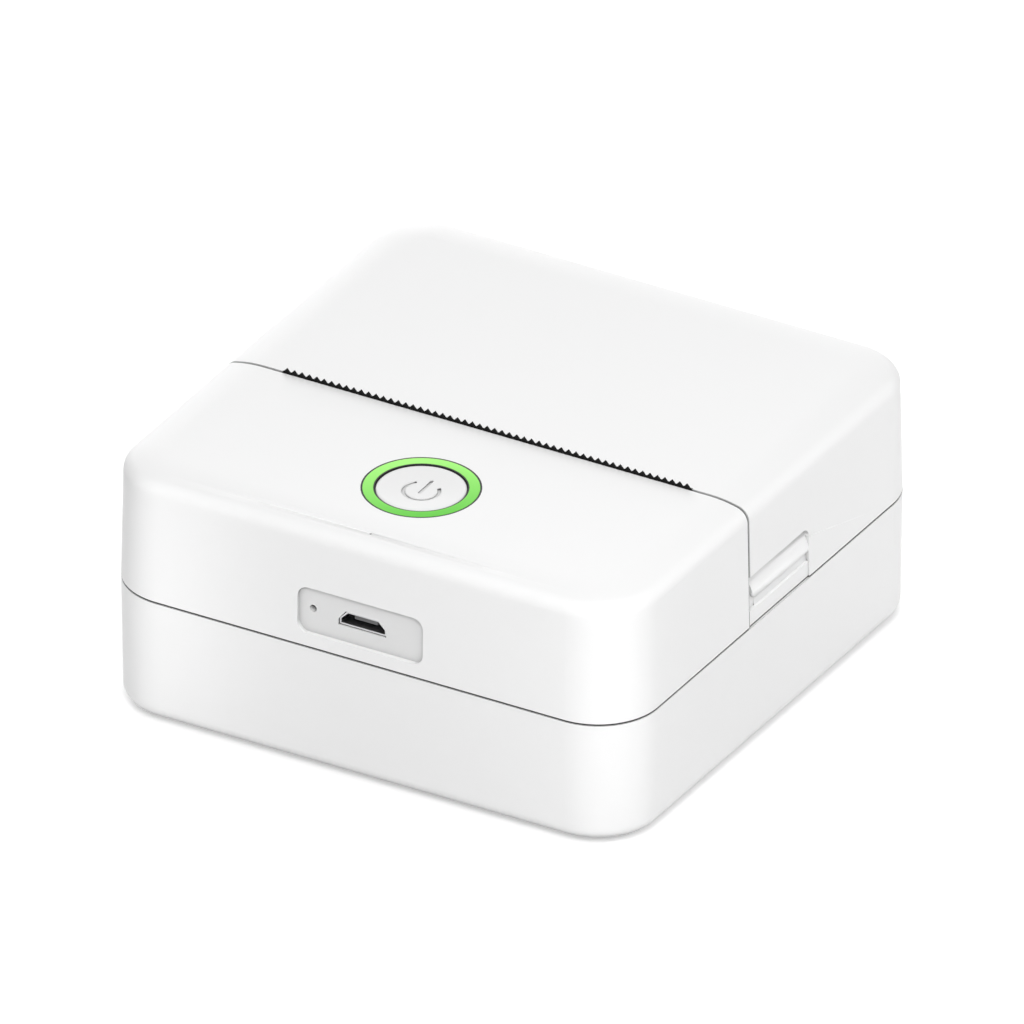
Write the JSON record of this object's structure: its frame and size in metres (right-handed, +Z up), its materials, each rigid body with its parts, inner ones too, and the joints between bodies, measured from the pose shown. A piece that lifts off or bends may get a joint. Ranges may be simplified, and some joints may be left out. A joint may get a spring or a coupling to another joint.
{
  "type": "portable thermal printer",
  "caption": "Square pocket thermal printer with a hinged rear lid over its paper bin, a toothed tear blade, a lit power button and a charging socket.",
  "frame": {"origin": "centre of the plan at the surface the feet stand on", "axes": "+X to the right seen from the front, +Y to the back, +Z up"},
  "size_m": [0.084, 0.084, 0.0395],
  "materials": {
    "shell_white": "gloss",
    "button_white": "satin",
    "ring_green": "lit light guide",
    "blade_black": "satin black",
    "foot_rubber": "matte",
    "screw_steel": "zinc plated",
    "pin_steel": "ground",
    "bush_brass": "machined",
    "switch_black": "moulded",
    "plunger_grey": "moulded",
    "board_green": "solder mask",
    "led_clear": "clear",
    "port_steel": "tin plated",
    "port_grey": "moulded",
    "chip_black": "moulded",
    "socket_cream": "moulded",
    "pad_foam": "foam",
    "cell_wrap": "foil pouch",
    "frame_steel": "pressed sheet",
    "head_aluminium": "extruded",
    "head_ceramic": "glazed",
    "spring_steel": "wire",
    "inner_plastic": "fine texture",
    "roller_rubber": "ground",
    "gear_plastic": "acetal",
    "motor_steel": "drawn can"
  },
  "bodies": {
    "housing": {"base_shell": "shell_white", "front_cover": "shell_white", "feet": "foot_rubber", "case_screws": "screw_steel", "hinge_pin": "pin_steel", "tear_blade": "blade_black", "light_ring": "ring_green", "button_switch": "switch_black", "switch_board": "board_green", "switch_board_screws": "screw_steel", "ring_leds": "led_clear", "main_board": "board_green", "board_screws": "screw_steel", "usb_shell": "port_steel", "usb_tongue": "port_grey", "mcu_chip": "chip_black", "radio_shield": "port_steel", "battery_socket": "socket_cream", "flex_socket": "socket_cream", "reset_switch": "switch_black", "battery_pad": "pad_foam", "battery_cell": "cell_wrap", "print_frame": "frame_steel", "frame_screws": "screw_steel", "head_pivot_pin": "pin_steel", "head_springs": "spring_steel", "paper_guide": "inner_plastic", "paper_sensor": "chip_black", "paper_bin": "inner_plastic", "bin_screws": "screw_steel", "motor_can": "motor_steel", "motor_screws": "screw_steel", "gear_axles": "pin_steel"},
    "lid": {"lid_shell": "shell_white", "platen_carrier": "inner_plastic", "carrier_screws": "screw_steel", "platen_bush_left": "bush_brass", "platen_bush_right": "bush_brass"},
    "platen": {"platen_rubber": "roller_rubber", "platen_shaft": "pin_steel", "platen_gear": "gear_plastic", "shaft_clips": "pin_steel"},
    "print_head": {"head_plate": "head_aluminium", "head_substrate": "head_ceramic", "head_chip": "chip_black"},
    "power_key": {"power_button": "button_white", "switch_plunger": "plunger_grey"},
    "reset_key": {"reset_plunger": "plunger_grey"},
    "motor_rotor": {"motor_shaft": "pin_steel", "motor_pinion": "bush_brass"},
    "reduction_wheel": {"reduction_gear": "gear_plastic"},
    "transfer_wheel": {"transfer_gear": "gear_plastic"}
  },
  "joints": [
    {"name": "lid_hinge", "type": "hinge", "parent": "housing", "child": "lid", "pos_m": [0, 0.039, 0.0226], "axis": [-1, 0, 0], "range_deg": [0, 90]},
    {"name": "platen_spin", "type": "hinge", "parent": "lid", "child": "platen", "pos_m": [0, -0.0019, 0.031], "axis": [1, 0, 0], "continuous": true},
    {"name": "head_rock", "type": "hinge", "parent": "housing", "child": "print_head", "pos_m": [0, -0.00825, 0.0205], "axis": [1, 0, 0], "range_deg": [0, 2], "stiffness_Nm_per_rad": 0.2, "springref_deg": -5.73, "deforming": ["head_springs"]},
    {"name": "power_press", "type": "slide", "parent": "housing", "child": "power_key", "axis": [0, 0, -1], "range_m": [0, 0.0004], "stiffness_N_per_m": 400, "springref_m": -0.001},
    {"name": "reset_press", "type": "slide", "parent": "housing", "child": "reset_key", "axis": [0, 1, 0], "range_m": [0, 0.00025], "stiffness_N_per_m": 200, "springref_m": -0.0005},
    {"name": "transfer_spin", "type": "hinge", "parent": "housing", "child": "transfer_wheel", "pos_m": [0, -0.0019, 0.0205], "axis": [1, 0, 0], "continuous": true},
    {"name": "reduction_spin", "type": "hinge", "parent": "housing", "child": "reduction_wheel", "pos_m": [0, -0.01126, 0.02215], "axis": [1, 0, 0], "continuous": true},
    {"name": "motor_spin", "type": "hinge", "parent": "housing", "child": "motor_rotor", "pos_m": [0, -0.01126, 0.01065], "axis": [1, 0, 0], "continuous": true}
  ],
  "couplings": [
    {"joint": "transfer_spin", "follows": "platen_spin", "ratio": -0.75},
    {"joint": "reduction_spin", "follows": "platen_spin", "ratio": 1.2857},
    {"joint": "motor_spin", "follows": "platen_spin", "ratio": -2.9388}
  ]
}
